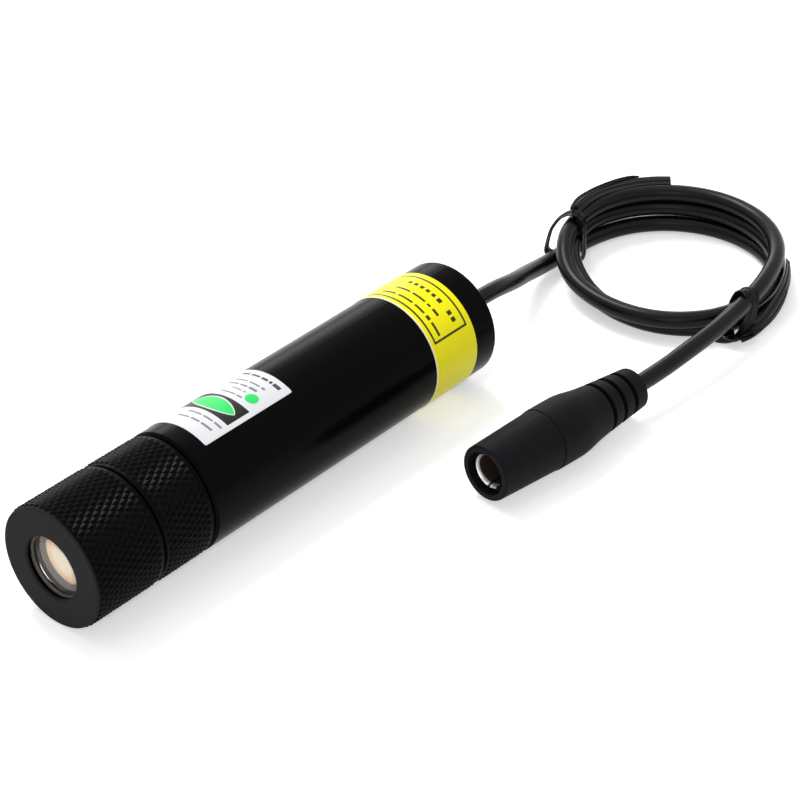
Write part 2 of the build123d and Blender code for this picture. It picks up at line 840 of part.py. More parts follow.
def coil_plane(angle):
    """Upright plane through the coil's axis: sketch X runs outwards and sketch Y up."""
    turn = math.radians(angle)
    return Plane(origin=(*coil_center, 0), x_dir=(math.cos(turn), math.sin(turn), 0),
                 z_dir=(math.sin(turn), -math.cos(turn), 0))


coil_middle = coil_outer_radius - coil_width / 2
coil_fall = math.atan2(coil_height - coil_near_height, 2 * coil_middle)


def coil_top(rise):
    """Plane on the coil's sloping top, or this far above it."""
    middle_height = (coil_height + coil_near_height) / 2
    return Plane(origin=(*coil_center, middle_height + rise), x_dir=(1, 0, 0),
                 z_dir=(0, -math.sin(coil_fall), math.cos(coil_fall)))


def top_height(angle):
    """Height of the coil's sloping top over the middle of its turns."""
    slope = coil_middle * math.sin(math.radians(angle)) * math.tan(coil_fall)
    return (coil_height + coil_near_height) / 2 + slope


with BuildPart() as cord_coil:
    with BuildSketch(coil_plane(0)):
        with Locations((coil_middle, coil_height / 2)):
            RectangleRounded(coil_width, coil_height, coil_corner_share * coil_width)
    revolve(axis=coil_axis)
    split(bisect_by=coil_top(0), keep=Keep.BOTTOM)
cord_coil.part.label = "cord_coil"


def tie_loop(angle, reach, lift):
    """Flat strip bent into a closed loop round the coil's section, standing on the surface."""
    width = coil_width + 2 * tie_slack + reach
    height = top_height(angle) + tie_slack + lift - tie_thickness
    outer = (width + 2 * tie_thickness, height + 2 * tie_thickness)
    with BuildSketch(coil_plane(angle)) as loop:
        with Locations((coil_middle + reach / 2, height / 2 + tie_thickness)):
            RectangleRounded(*outer, tie_corner + tie_thickness)
            RectangleRounded(width, height, tie_corner, mode=Mode.SUBTRACT)
    return loop.sketch


with BuildPart() as tie_left:
    extrude(tie_loop(left_tie_degrees, left_tie_reach, 0), amount=tie_width / 2, both=True)
    with BuildSketch(coil_top(tie_slack)):
        with BuildLine():
            CenterArc((0, 0), coil_middle, left_tie_degrees, -left_tail_degrees)
        trace(line_width=left_tail_width)
    extrude(amount=tie_thickness)
tie_left.part.label = "tie_left"

with BuildPart() as tie_right:
    extrude(tie_loop(right_tie_degrees, right_tie_reach, right_tie_lift), amount=tie_width / 2, both=True)
    right_plane = coil_plane(right_tie_degrees)
    with BuildSketch(right_plane):
        edge = coil_outer_radius + tie_slack + right_tie_reach + tie_thickness / 2
        with Locations((edge, coil_near_height / 2)):
            Rectangle(tie_thickness, right_tail_width)
    tail_center = right_plane.origin + right_plane.x_dir * right_tail_shift
    revolve(axis=Axis(tail_center, (0, 0, 1)), revolution_arc=right_tail_degrees)
tie_right.part.label = "tie_right"

pieces = [
    barrel, focus_cap, lock_ring, lens_cell, output_lens, lens_retainer, drag_ring, key_pin, focus_spring,
    laser_head, expander_lens, infrared_filter, crystal_mount, laser_crystal, diode_base, diode_can,
    diode_window, diode_pins, diode_ring, head_clamp, driver_board, drive_inductor, storage_capacitors,
    drive_chip, trimmer, trimmer_screw, small_resistors, rear_cap, cord_bush, name_label, band_label,
    cord_coil, tie_left, tie_right, socket_shell, socket_insert, socket_contact, socket_pin,
]
os.makedirs("parts", exist_ok=True)
for piece in pieces:
    export_step(piece.part, f"parts/{piece.part.label}.step")
for piece in (lead_red, lead_black, cord_lead, cord_tail):
    export_step(piece, f"parts/{piece.label}.step")
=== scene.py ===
# Laser diode module with a coiled power cord: looks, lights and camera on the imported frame, in metres
import math
import bpy
import bmesh
from mathutils import Matrix, Vector


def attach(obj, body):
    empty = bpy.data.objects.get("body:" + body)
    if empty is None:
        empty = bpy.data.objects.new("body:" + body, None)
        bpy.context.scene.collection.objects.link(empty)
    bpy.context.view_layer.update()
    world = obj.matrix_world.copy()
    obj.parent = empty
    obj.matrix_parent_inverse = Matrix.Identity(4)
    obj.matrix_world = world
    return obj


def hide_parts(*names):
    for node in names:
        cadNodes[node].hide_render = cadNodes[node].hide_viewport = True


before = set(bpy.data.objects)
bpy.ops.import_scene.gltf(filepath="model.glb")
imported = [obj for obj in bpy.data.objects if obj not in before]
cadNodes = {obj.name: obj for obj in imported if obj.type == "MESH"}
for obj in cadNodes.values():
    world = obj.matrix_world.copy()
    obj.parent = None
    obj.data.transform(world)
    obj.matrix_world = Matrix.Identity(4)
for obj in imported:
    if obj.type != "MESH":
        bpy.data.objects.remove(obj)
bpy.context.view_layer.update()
mm = 0.001
axisHeight = 11.0  # mm, the beam axis above the floor
barrelRadius = 11.0  # mm
barrelFront = -49.0  # mm along Y
coilCenter = (12.5, 101.5)  # mm
scene = bpy.context.scene
scene.view_settings.view_transform = "Standard"
print("frame loaded,", len(cadNodes), "nodes")


def math2(tree, operation, first, second=None, third=None):
    node = tree.nodes.new("ShaderNodeMath")
    node.operation = operation
    for socket, value in zip(node.inputs, (first, second, third)):
        feed(tree, socket, value)
    return node.outputs[0]


def feed(tree, socket, value):
    if value is None:
        return
    if isinstance(value, bpy.types.NodeSocket):
        tree.links.new(value, socket)
    else:
        socket.default_value = value


def objectPlace(tree):
    coordinates = tree.nodes.new("ShaderNodeTexCoord")
    return coordinates.outputs["Object"]


# camera, floor and light

cameraSetup = {
    "azimuth": 40.64,  # degrees round from straight in front
    "elevation": 33.98,
    "place": (243.97, -248.99, 252.34),  # mm
    "focalPixels": 2500,
    "framePixels": 800,
    "sensor": 36.0,
    "clip": (0.01, 10),  # metres
}


def addCamera(setup):
    azimuth = math.radians(setup["azimuth"])
    elevation = math.radians(setup["elevation"])
    level = math.cos(elevation)
    back = Vector((math.sin(azimuth) * level, -math.cos(azimuth) * level, math.sin(elevation)))
    right = Vector((math.cos(azimuth), math.sin(azimuth), 0))
    up = back.cross(right)
    data = bpy.data.cameras.new("camera")
    data.sensor_width = setup["sensor"]
    data.lens = setup["focalPixels"] / setup["framePixels"] * setup["sensor"]
    data.clip_start, data.clip_end = setup["clip"]
    camera = bpy.data.objects.new("camera", data)
    scene.collection.objects.link(camera)
    turn = Matrix((right, up, back)).transposed().to_4x4()
    camera.matrix_world = Matrix.Translation(Vector(setup["place"]) * mm) @ turn
    scene.camera = camera


studio = {
    "ambient": 0.5,  # world light on the object
    "backdrop": 1.0,  # world as the camera, gloss and glass see it
    "floorSide": 6.0,  # metres
    "floorColor": (0.80, 0.80, 0.80, 1),
    "floorGlow": 0.42,  # added to the floor for the camera
    "floorFade": (0.35, 1.2),  # metres from the middle, between which the floor turns to plain white
    "lamps": [  # name, place, aim, size, watts, and whether glossy surfaces show it
        ("softboxTop", (-0.25, 0.10, 0.75), (0, 0.02, 0), (0.70, 0.90), 1.8, True),
        ("softboxFront", (0.55, -0.55, 0.45), (0, 0, 0.01), (0.50, 0.50), 0.9, True),
        ("softboxBack", (-0.50, 0.52, 0.22), (0, 0.02, 0.01), (0.40, 0.22), 0.75, True),
        ("smallFront", (0.28, -0.50, 0.33), (0, -0.045, 0.018), (0.06, 0.06), 1.0, False),
        ("smallLeft", (-0.42, 0.16, 0.68), (0.012, 0.10, 0.005), (0.30, 0.30), 4.0, True),
    ],
}


def addFloor(setup):
    mesh = bpy.data.meshes.new("floor")
    half = setup["floorSide"] / 2
    corners = [(-half, -half, 0), (half, -half, 0), (half, half, 0), (-half, half, 0)]
    mesh.from_pydata(corners, [], [(0, 1, 2, 3)])
    floor = bpy.data.objects.new("floor", mesh)
    scene.collection.objects.link(floor)
    material = bpy.data.materials.new("paleFloor")
    material.use_nodes = True
    tree = material.node_tree
    tree.nodes.clear()
    output = tree.nodes.new("ShaderNodeOutputMaterial")
    diffuse = tree.nodes.new("ShaderNodeBsdfDiffuse")
    diffuse.inputs["Color"].default_value = setup["floorColor"]
    glow = tree.nodes.new("ShaderNodeEmission")
    path = tree.nodes.new("ShaderNodeLightPath")
    reach = tree.nodes.new("ShaderNodeVectorMath")
    reach.operation = "LENGTH"
    tree.links.new(objectPlace(tree), reach.inputs[0])
    fade = tree.nodes.new("ShaderNodeMapRange")
    fade.inputs["From Min"].default_value, fade.inputs["From Max"].default_value = setup["floorFade"]
    tree.links.new(reach.outputs["Value"], fade.inputs["Value"])
    far = math2(tree, "MULTIPLY", fade.outputs["Result"], path.outputs["Is Camera Ray"])
    strength = math2(tree, "MULTIPLY_ADD", anySeen(tree, path), setup["floorGlow"], far)
    tree.links.new(strength, glow.inputs["Strength"])
    add = tree.nodes.new("ShaderNodeAddShader")
    tree.links.new(diffuse.outputs[0], add.inputs[0])
    tree.links.new(glow.outputs[0], add.inputs[1])
    tree.links.new(add.outputs[0], output.inputs["Surface"])
    mesh.materials.append(material)


def anySeen(tree, path):
    # 1 where a ray comes from the camera, a gloss or through glass
    direct = math2(tree, "MAXIMUM", path.outputs["Is Camera Ray"], path.outputs["Is Glossy Ray"])
    return math2(tree, "MAXIMUM", direct, path.outputs["Is Transmission Ray"])


def addWorld(setup):
    world = bpy.data.worlds.new("studio")
    scene.world = world
    world.use_nodes = True
    tree = world.node_tree
    background = tree.nodes["Background"]
    background.inputs["Color"].default_value = (1, 1, 1, 1)
    path = tree.nodes.new("ShaderNodeLightPath")
    mix = tree.nodes.new("ShaderNodeMix")
    mix.inputs["A"].default_value = setup["ambient"]
    mix.inputs["B"].default_value = setup["backdrop"]
    tree.links.new(anySeen(tree, path), mix.inputs["Factor"])
    tree.links.new(mix.outputs["Result"], background.inputs["Strength"])


def addLamps(setup):
    for name, place, aim, size, watts, inGloss in setup["lamps"]:
        data = bpy.data.lights.new(name, "AREA")
        data.shape = "RECTANGLE"
        data.size, data.size_y = size
        data.energy = watts
        lamp = bpy.data.objects.new(name, data)
        scene.collection.objects.link(lamp)
        lamp.visible_glossy = inGloss
        lamp.location = place
        lamp.rotation_euler = (Vector(aim) - Vector(place)).to_track_quat("-Z", "Y").to_euler()


addCamera(cameraSetup)
addFloor(studio)
addWorld(studio)
addLamps(studio)
print("stage ready")


# shared helpers for meshes and node trees


def makeObject(name, mesh):
    piece = bpy.data.objects.new(name, mesh)
    scene.collection.objects.link(piece)
    return piece


def plainMesh(piece, sharpAngle):
    # what the modifiers make becomes the piece's own mesh, smooth but for its sharper edges
    depsgraph = bpy.context.evaluated_depsgraph_get()
    mesh = bpy.data.meshes.new_from_object(piece.evaluated_get(depsgraph), depsgraph=depsgraph)
    mesh.name = piece.name
    smoothMesh(mesh, sharpAngle)
    return mesh


def smoothMesh(mesh, sharpAngle):
    for polygon in mesh.polygons:
        polygon.use_smooth = True
    mesh.set_sharp_from_angle(angle=math.radians(sharpAngle))


def meshObject(bm, name, sharpAngle):
    bmesh.ops.recalc_face_normals(bm, faces=bm.faces)
    mesh = bpy.data.meshes.new(name)
    bm.to_mesh(mesh)
    bm.free()
    smoothMesh(mesh, sharpAngle)
    return makeObject(name, mesh)


def skin(bm, rings, closed):
    # faces between neighbouring rings of points; a closed run ends where it starts
    count = len(rings[0])
    for here, following in zip(rings, rings[1:] + rings[:1] if closed else rings[1:]):
        for j in range(count):
            k = (j + 1) % count
            bm.faces.new((here[j], here[k], following[k], following[j]))


def cappedSkin(bm, rings, closed):
    # skin with a cap on each end of an open run
    skin(bm, rings, closed)
    if not closed:
        bm.faces.new(rings[0])
        bm.faces.new(rings[-1])


def roundAngles(segments):
    return [2 * math.pi * i / segments for i in range(segments)]


def roundPoint(bm, along, radius, angle):
    # point beside the beam axis; the angle is in radians from straight up, and the rest in mm
    height = axisHeight + radius * math.cos(angle)
    return bm.verts.new((radius * math.sin(angle) * mm, along * mm, height * mm))


def mixColor(tree, factor, first, second):
    # sockets 6 and 7 are the two colours of a Mix node, and output 2 is its colour
    node = tree.nodes.new("ShaderNodeMix")
    node.data_type = "RGBA"
    feed(tree, node.inputs["Factor"], factor)
    feed(tree, node.inputs[6], first if isinstance(first, bpy.types.NodeSocket) else (*first, 1))
    feed(tree, node.inputs[7], second if isinstance(second, bpy.types.NodeSocket) else (*second, 1))
    return node.outputs[2]


finishDefaults = {
    "grainSize": 0.4,  # mm, as the next one
    "stainSize": 9.0,
    "lighter": 1.3,  # the colour of the stains' light side, as a share of the dark side's
    "roughSpread": 0.08,
    "metal": 0.0,
    "gloss": 0.5,
    "bump": 0.15,
    "bumpDepth": 0.02,  # mm
}


def newGroup(name, inputs, outputs):
    # inputs go by name with a default value; None stands for a vector
    group = bpy.data.node_groups.new(name, "ShaderNodeTree")
    for label, value in inputs.items():
        kind = "NodeSocketVector" if value is None else "NodeSocketFloat"
        socket = group.interface.new_socket(name=label, in_out="INPUT", socket_type=kind)
        if value is not None:
            socket.default_value = value
    for label in outputs:
        group.interface.new_socket(name=label, in_out="OUTPUT", socket_type="NodeSocketFloat")
    return group, group.nodes.new("NodeGroupInput"), group.nodes.new("NodeGroupOutput")


def useGroup(tree, group, **values):
    node = tree.nodes.new("ShaderNodeGroup")
    node.node_tree = group
    for label, value in values.items():
        feed(tree, node.inputs[label], value)
    return node


def makeGrainGroup():
    # fine grain with slower stains: a height for bump and a 0 to 1 value for colour and roughness
    inputs = {"vector": None, "grainSize": finishDefaults["grainSize"], "stainSize": finishDefaults["stainSize"]}
    group, start, end = newGroup("fineGrain", inputs, ["height", "stain"])
    for size, result, detail in (("grainSize", "height", 3), ("stainSize", "stain", 2)):
        noise = group.nodes.new("ShaderNodeTexNoise")
        noise.noise_dimensions = "4D"
        noise.inputs["Detail"].default_value = detail
        group.links.new(start.outputs["vector"], noise.inputs["Vector"])
        group.links.new(math2(group, "DIVIDE", 1 / mm, start.outputs[size]), noise.inputs["Scale"])
        group.links.new(noise.outputs[0], end.inputs[result])
    return group


def makeTurningGroup():
    # fine lines left by a lathe, across the axis given as the position along it
    group, start, end = newGroup("turningLines", {"along": 0.0, "pitch": 0.12}, ["height"])
    noise = group.nodes.new("ShaderNodeTexNoise")
    noise.noise_dimensions = "1D"
    noise.inputs["Detail"].default_value = 4
    noise.inputs["Roughness"].default_value = 0.7
    group.links.new(start.outputs["along"], noise.inputs["W"])
    group.links.new(math2(group, "DIVIDE", 1 / mm, start.outputs["pitch"]), noise.inputs["Scale"])
    group.links.new(noise.outputs[0], end.inputs["height"])
    return group


def makeBoxGroup():
    # 1 inside a printed box on the barrel, by the angle round it and the distance along it
    inputs = dict.fromkeys(("angle", "along", "lowAngle", "highAngle", "front", "back"), 0.0)
    group, start, end = newGroup("printedBox", inputs, ["mask"])
    tests = [("GREATER_THAN", "angle", "lowAngle"), ("LESS_THAN", "angle", "highAngle"),
             ("GREATER_THAN", "along", "front"), ("LESS_THAN", "along", "back")]
    mask = None
    for operation, value, limit in tests:
        test = math2(group, operation, start.outputs[value], start.outputs[limit])
        mask = test if mask is None else math2(group, "MULTIPLY", mask, test)
    group.links.new(mask, end.inputs["mask"])
    return group


def makeRoundGroup():
    # 1 inside a printed oval with a given half angle and half length; a low fullness points its ends
    inputs = {"angle": 0.0, "along": 0.0, "middleAngle": 0.0, "middle": 0.0, "halfAngle": 1.0, "half": 1.0,
              "fullness": 2.0}
    group, start, end = newGroup("printedRound", inputs, ["mask"])
    across = math2(group, "DIVIDE", math2(group, "SUBTRACT", start.outputs["angle"], start.outputs["middleAngle"]),
                   start.outputs["halfAngle"])
    down = math2(group, "DIVIDE", math2(group, "SUBTRACT", start.outputs["along"], start.outputs["middle"]),
                 start.outputs["half"])
    size = math2(group, "ADD", math2(group, "POWER", math2(group, "ABSOLUTE", across), 2.0),
                 math2(group, "POWER", math2(group, "ABSOLUTE", down), start.outputs["fullness"]))
    group.links.new(math2(group, "LESS_THAN", size, 1.0), end.inputs["mask"])
    return group


groups = {"grain": makeGrainGroup(), "turning": makeTurningGroup(), "box": makeBoxGroup(), "round": makeRoundGroup()}


def combined(tree, *parts):
    node = tree.nodes.new("ShaderNodeCombineXYZ")
    for socket, value in zip(node.inputs, parts):
        feed(tree, socket, value)
    return node.outputs[0]


def axisPart(tree, vector, axis):
    parts = tree.nodes.new("ShaderNodeSeparateXYZ")
    tree.links.new(vector, parts.inputs[0])
    return parts.outputs[axis]


def newMaterial(name):
    material = bpy.data.materials.new(name)
    material.use_nodes = True
    return material, material.node_tree, material.node_tree.nodes["Principled BSDF"]


def lighter(color, share):
    return tuple(min(1.0, part * share) for part in color)


def addBump(tree, shader, height, look):
    bump = tree.nodes.new("ShaderNodeBump")
    bump.inputs["Strength"].default_value = look["bump"]
    bump.inputs["Distance"].default_value = look["bumpDepth"] * mm
    tree.links.new(height, bump.inputs["Height"])
    tree.links.new(bump.outputs[0], shader.inputs["Normal"])


def finish(name, ownLook):
    # a Principled material: grain and stains vary its colour and roughness, and grain or turning lines its normal
    look = {**finishDefaults, **ownLook}
    material, tree, shader = newMaterial(name)
    vector = objectPlace(tree)
    grain = useGroup(tree, groups["grain"], vector=vector, grainSize=look["grainSize"], stainSize=look["stainSize"])
    color = mixColor(tree, grain.outputs["stain"], look["color"], lighter(look["color"], look["lighter"]))
    tree.links.new(color, shader.inputs["Base Color"])
    lowest = look["rough"] - look["roughSpread"] / 2
    rough = math2(tree, "MULTIPLY_ADD", grain.outputs["stain"], look["roughSpread"], lowest)
    tree.links.new(rough, shader.inputs["Roughness"])
    shader.inputs["Metallic"].default_value = look["metal"]
    shader.inputs["Specular IOR Level"].default_value = look["gloss"]
    height = grain.outputs["height"]
    if "turning" in look:
        lines = useGroup(tree, groups["turning"], along=axisPart(tree, vector, "Y"), pitch=look["turning"])
        height = lines.outputs["height"]
    addBump(tree, shader, height, look)
    return material


def dress(material, *names):
    for name in names:
        cadNodes[name].data.materials.clear()
        cadNodes[name].data.materials.append(material)


# materials of the metal, plastic and inner pieces

looks = {
    "barrelBlack": {"color": (0.0011, 0.0011, 0.0012), "rough": 0.22, "roughSpread": 0.05, "turning": 0.10,
                    "bump": 0.10, "bumpDepth": 0.004, "stainSize": 14.0, "gloss": 0.03},
    "rearBlack": {"color": (0.003, 0.003, 0.0032), "rough": 0.36, "grainSize": 0.2, "bump": 0.2, "bumpDepth": 0.01,
                  "gloss": 0.06},
    "turnedBrass": {"color": (0.80, 0.58, 0.26), "metal": 1.0, "rough": 0.26, "lighter": 1.15, "turning": 0.14,
                    "bump": 0.3, "bumpDepth": 0.006},
    "retainerGrey": {"color": (0.11, 0.10, 0.09), "rough": 0.55, "grainSize": 0.2, "bump": 0.2, "bumpDepth": 0.01,
                     "gloss": 0.2},
    "groundSteel": {"color": (0.52, 0.52, 0.53), "metal": 1.0, "rough": 0.28, "grainSize": 0.1, "bump": 0.2,
                    "bumpDepth": 0.004},
    "turnedCopper": {"color": (0.80, 0.36, 0.20), "metal": 1.0, "rough": 0.3, "turning": 0.1, "bump": 0.3,
                     "bumpDepth": 0.005},
    "goldPlate": {"color": (0.86, 0.62, 0.24), "metal": 1.0, "rough": 0.2, "grainSize": 0.1, "bump": 0.1,
                  "bumpDepth": 0.003},
    "greasedRubber": {"color": (0.012, 0.012, 0.012), "rough": 0.45, "grainSize": 0.1, "bump": 0.3,
                      "bumpDepth": 0.01},
    "boardGreen": {"color": (0.015, 0.10, 0.035), "rough": 0.3, "grainSize": 0.5, "bump": 0.2, "bumpDepth": 0.01},
    "ferriteGrey": {"color": (0.035, 0.035, 0.038), "rough": 0.6, "grainSize": 0.1, "bump": 0.4},
    "canAluminium": {"color": (0.62, 0.63, 0.65), "metal": 1.0, "rough": 0.3, "grainSize": 0.2, "bump": 0.1,
                     "bumpDepth": 0.005},
    "chipBlack": {"color": (0.018, 0.018, 0.020), "rough": 0.55, "grainSize": 0.08, "bump": 0.4, "bumpDepth": 0.01},
    "trimmerBlue": {"color": (0.02, 0.07, 0.32), "rough": 0.45, "grainSize": 0.1, "bump": 0.3, "bumpDepth": 0.01},
    "jacketRed": {"color": (0.42, 0.012, 0.010), "rough": 0.4, "grainSize": 0.3, "bump": 0.1, "bumpDepth": 0.01},
    "jacketBlack": {"color": (0.012, 0.012, 0.012), "rough": 0.4, "grainSize": 0.3, "bump": 0.1, "bumpDepth": 0.01},
    "bushBlack": {"color": (0.0022, 0.0022, 0.0022), "rough": 0.45, "grainSize": 0.2, "bump": 0.3, "gloss": 0.06},
    "cordBlack": {"color": (0.0018, 0.0018, 0.002), "rough": 0.28, "grainSize": 1.6, "bumpDepth": 0.05,
                  "stainSize": 5.0, "gloss": 0.15},
    "tieBlack": {"color": (0.003, 0.0028, 0.0028), "rough": 0.3, "grainSize": 0.5, "bump": 0.25, "bumpDepth": 0.04,
                 "stainSize": 3.0, "roughSpread": 0.14, "gloss": 0.12, "lighter": 2.2},
    "socketCharcoal": {"color": (0.0040, 0.0040, 0.0048), "rough": 0.56, "grainSize": 0.16, "bump": 0.4,
                       "stainSize": 5.0, "lighter": 1.6, "gloss": 0.06},
    "insertBlack": {"color": (0.0022, 0.0018, 0.0015), "rough": 0.5, "grainSize": 0.2, "bump": 0.3,
                    "bumpDepth": 0.01, "gloss": 0.04},
    "pinPlate": {"color": (0.085, 0.060, 0.042), "metal": 1.0, "rough": 0.5, "grainSize": 0.3, "bump": 0.1,
                 "bumpDepth": 0.01},
}
dressing = {  # CAD nodes that keep their meshes
    "barrelBlack": ["barrel"],
    "rearBlack": ["rear_cap"],
    "turnedBrass": ["laser_head", "diode_ring", "head_clamp", "trimmer_screw"],
    "retainerGrey": ["lens_retainer"],
    "groundSteel": ["key_pin", "focus_spring", "diode_can"],
    "turnedCopper": ["crystal_mount"],
    "goldPlate": ["diode_base", "diode_pins"],
    "greasedRubber": ["drag_ring"],
    "boardGreen": ["driver_board"],
    "ferriteGrey": ["drive_inductor"],
    "canAluminium": ["storage_capacitors"],
    "chipBlack": ["drive_chip", "small_resistors"],
    "trimmerBlue": ["trimmer"],
    "jacketRed": ["lead_red"],
    "jacketBlack": ["lead_black"],
    "bushBlack": ["cord_bush"],
    "socketCharcoal": ["socket_shell"],
    "insertBlack": ["socket_insert"],
    "pinPlate": ["socket_pin"],
}
finishes = {name: finish(name, look) for name, look in looks.items()}
for name, nodes in dressing.items():
    dress(finishes[name], *nodes)


# two-tone finishes: the colour changes at a place along Y, which in the lens cell and the socket leaves paints shade
# and light

twoTone = {"lighter": 1.25, "roughSpread": 0.08}  # what the stains do to both sides
cellLook = {
    "base": {"turning": 0.14, "bump": 0.3, "bumpDepth": 0.006, "gloss": 0.3},
    "boundary": -42.7,  # mm, where the painted shade of the mouth ends
    "blend": 0.15,
    "colors": ((0.045, 0.040, 0.036), (0.80, 0.56, 0.33)),  # mouth in painted shade, gold wall
    "roughs": (0.6, 0.35),
    # painted highlight: a near-white zone far in the bore stands in for the light falling on it
    "paintedHighlight": (1.0, 0.92, 0.74),
    "paintedHighlightFrom": -42.0,  # mm, where the painted highlight starts on the gold
    "paintedHighlightBlend": 0.35,
}
capLook = {
    "base": {"grainSize": 0.15, "bump": 0.25, "bumpDepth": 0.01, "stainSize": 2.0, "gloss": 0.035},
    "boundary": -48.66,  # mm, the front face and its small chamfer lie before this
    "blend": 0.02,
    "colors": ((0.013, 0.013, 0.014), (0.0008, 0.0008, 0.0009)),  # face, knurl
    "roughs": (0.5, 0.26),
}
leafLook = {
    "base": {"grainSize": 0.3, "bump": 0.1, "bumpDepth": 0.01, "gloss": 0.06},
    "boundary": 22.75,  # mm, behind their bright lips the leaves are painted dark as shade farther in the socket
    "blend": 0.15,
    "colors": ((0.96, 0.90, 0.82), (0.020, 0.013, 0.009)),  # lips, painted shade
    "roughs": (0.3, 0.55),
    "metals": (1.0, 0.0),
}


def alongMask(tree, vector, boundary, blend):
    # 0 in front of a place along Y and 1 behind it
    ramp = tree.nodes.new("ShaderNodeMapRange")
    ramp.inputs["From Min"].default_value = (boundary - blend) * mm
    ramp.inputs["From Max"].default_value = (boundary + blend) * mm
    tree.links.new(axisPart(tree, vector, "Y"), ramp.inputs["Value"])
    return ramp.outputs["Result"]


def between(tree, mask, sides):
    return math2(tree, "MULTIPLY_ADD", mask, sides[1] - sides[0], sides[0])


def twoToneFinish(name, look):
    # two colours and roughnesses on either side of a boundary, over the stains and bump of a plain finish
    material = finish(name, {**look["base"], "color": look["colors"][0], "rough": look["roughs"][0]})
    tree = material.node_tree
    shader = tree.nodes["Principled BSDF"]
    mask = alongMask(tree, objectPlace(tree), look["boundary"], look["blend"])
    stain = [node for node in tree.nodes if node.type == "GROUP"][0].outputs["stain"]
    sides = [mixColor(tree, stain, color, lighter(color, twoTone["lighter"])) for color in look["colors"]]
    tree.links.new(mixColor(tree, mask, *sides), shader.inputs["Base Color"])
    rough = math2(tree, "MULTIPLY_ADD", stain, twoTone["roughSpread"], between(tree, mask, look["roughs"]))
    tree.links.new(rough, shader.inputs["Roughness"])
    if "metals" in look:
        tree.links.new(between(tree, mask, look["metals"]), shader.inputs["Metallic"])
    return material


def makeCellFinish(look):
    # painted shade at the mouth and gold wall, and behind them a third zone with a painted highlight
    material = twoToneFinish("cellPaintedShadeAndHighlight", look)
    tree = material.node_tree
    base = tree.nodes["Principled BSDF"].inputs["Base Color"]
    # painted highlight over the gold, far in the bore
    paintedHighlightMask = alongMask(tree, objectPlace(tree), look["paintedHighlightFrom"], look["paintedHighlightBlend"])
    tree.links.new(mixColor(tree, paintedHighlightMask, base.links[0].from_socket, look["paintedHighlight"]), base)
    return material


dress(makeCellFinish(cellLook), "lens_cell")
capFinish = twoToneFinish("knurledBlack", capLook)
# the leaves' inner part carries painted shade, dark and not metal
leafFinish = twoToneFinish("lipsAndPaintedShadePlate", leafLook)


def clearGlass(name, look):
    # polished glass: stains only on its roughness
    material, tree, shader = newMaterial(name)
    grain = useGroup(tree, groups["grain"], vector=objectPlace(tree), stainSize=look["stainSize"])
    rough = math2(tree, "MULTIPLY_ADD", grain.outputs["stain"], look["roughSpread"], look["rough"])
    tree.links.new(rough, shader.inputs["Roughness"])
    shader.inputs["Base Color"].default_value = (*look["color"], 1)
    shader.inputs["Transmission Weight"].default_value = look["clear"]
    shader.inputs["IOR"].default_value = look["bend"]
    shader.inputs["Specular IOR Level"].default_value = look["gloss"]
    path = tree.nodes.new("ShaderNodeLightPath")  # lamps shine through the glass
    tree.links.new(math2(tree, "SUBTRACT", 1.0, path.outputs["Is Shadow Ray"]), shader.inputs["Alpha"])
    return material


glassLooks = {
    "coatedLens": {"color": (0.98, 0.95, 0.92), "rough": 0.0, "roughSpread": 0.03, "stainSize": 3.0, "clear": 1.0,
                   "bend": 1.45, "gloss": 0.3},
    "filterGlass": {"color": (0.30, 0.62, 0.60), "rough": 0.0, "roughSpread": 0.04, "stainSize": 3.0, "clear": 0.9,
                    "bend": 1.52, "gloss": 0.5},
    "crystalGlass": {"color": (0.60, 0.46, 0.72), "rough": 0.02, "roughSpread": 0.04, "stainSize": 1.0, "clear": 0.8,
                     "bend": 1.75, "gloss": 0.5},
}
glass = {name: clearGlass(name, look) for name, look in glassLooks.items()}
dress(glass["coatedLens"], "expander_lens", "diode_window")
dress(glass["filterGlass"], "infrared_filter")
dress(glass["crystalGlass"], "laser_crystal")
print("finishes ready")


# printed labels: plain bars and shapes by the angle round the barrel and the distance from its front

nameLabel = {
    "paper": (0.68, 0.69, 0.71),
    "ink": (0.005, 0.006, 0.005),
    "grey": (0.20, 0.19, 0.20),
    "darkGrey": (0.05, 0.05, 0.055),
    "green": (0.02, 0.62, 0.12),
    "square": (67.6, 128.0, 36.2, 41.4),
    # middle angle, middle, half angle, half length, fullness of the ends
    "lens": (98.5, 38.8, 25.0, 1.72, 1.35),
    "lensRim": (98.5, 38.8, 26.0, 2.0, 1.35),
    "dot": (77.5, 43.9, 6.2, 1.2, 2.0),
    # low angle, high angle, front, back
    "bars": [(71.5, 84, 33.0, 33.5), (86, 96, 33.0, 33.45), (98, 112, 33.0, 33.4), (68.5, 77, 34.7, 35.15),
             (79, 90, 34.7, 35.1), (92, 108, 34.7, 35.1), (84, 90, 42.6, 43.0), (91.5, 108, 42.6, 42.95),
             (81, 90, 45.5, 46.1), (92, 100, 45.5, 45.95), (102, 114, 45.5, 45.9), (78, 82, 46.9, 47.4),
             (84, 96, 46.9, 47.3), (98, 112, 46.9, 47.25), (87, 90, 44.2, 44.5), (92, 103, 44.2, 44.5)],
    "darkBars": [(70.5, 78.5, 48.9, 49.7), (80, 83, 48.95, 49.6), (85, 92, 48.95, 49.55), (94, 104, 49.0, 49.5),
                 (106, 116, 49.0, 49.5)],
    "rough": 0.34,
    "gloss": 0.2,
}
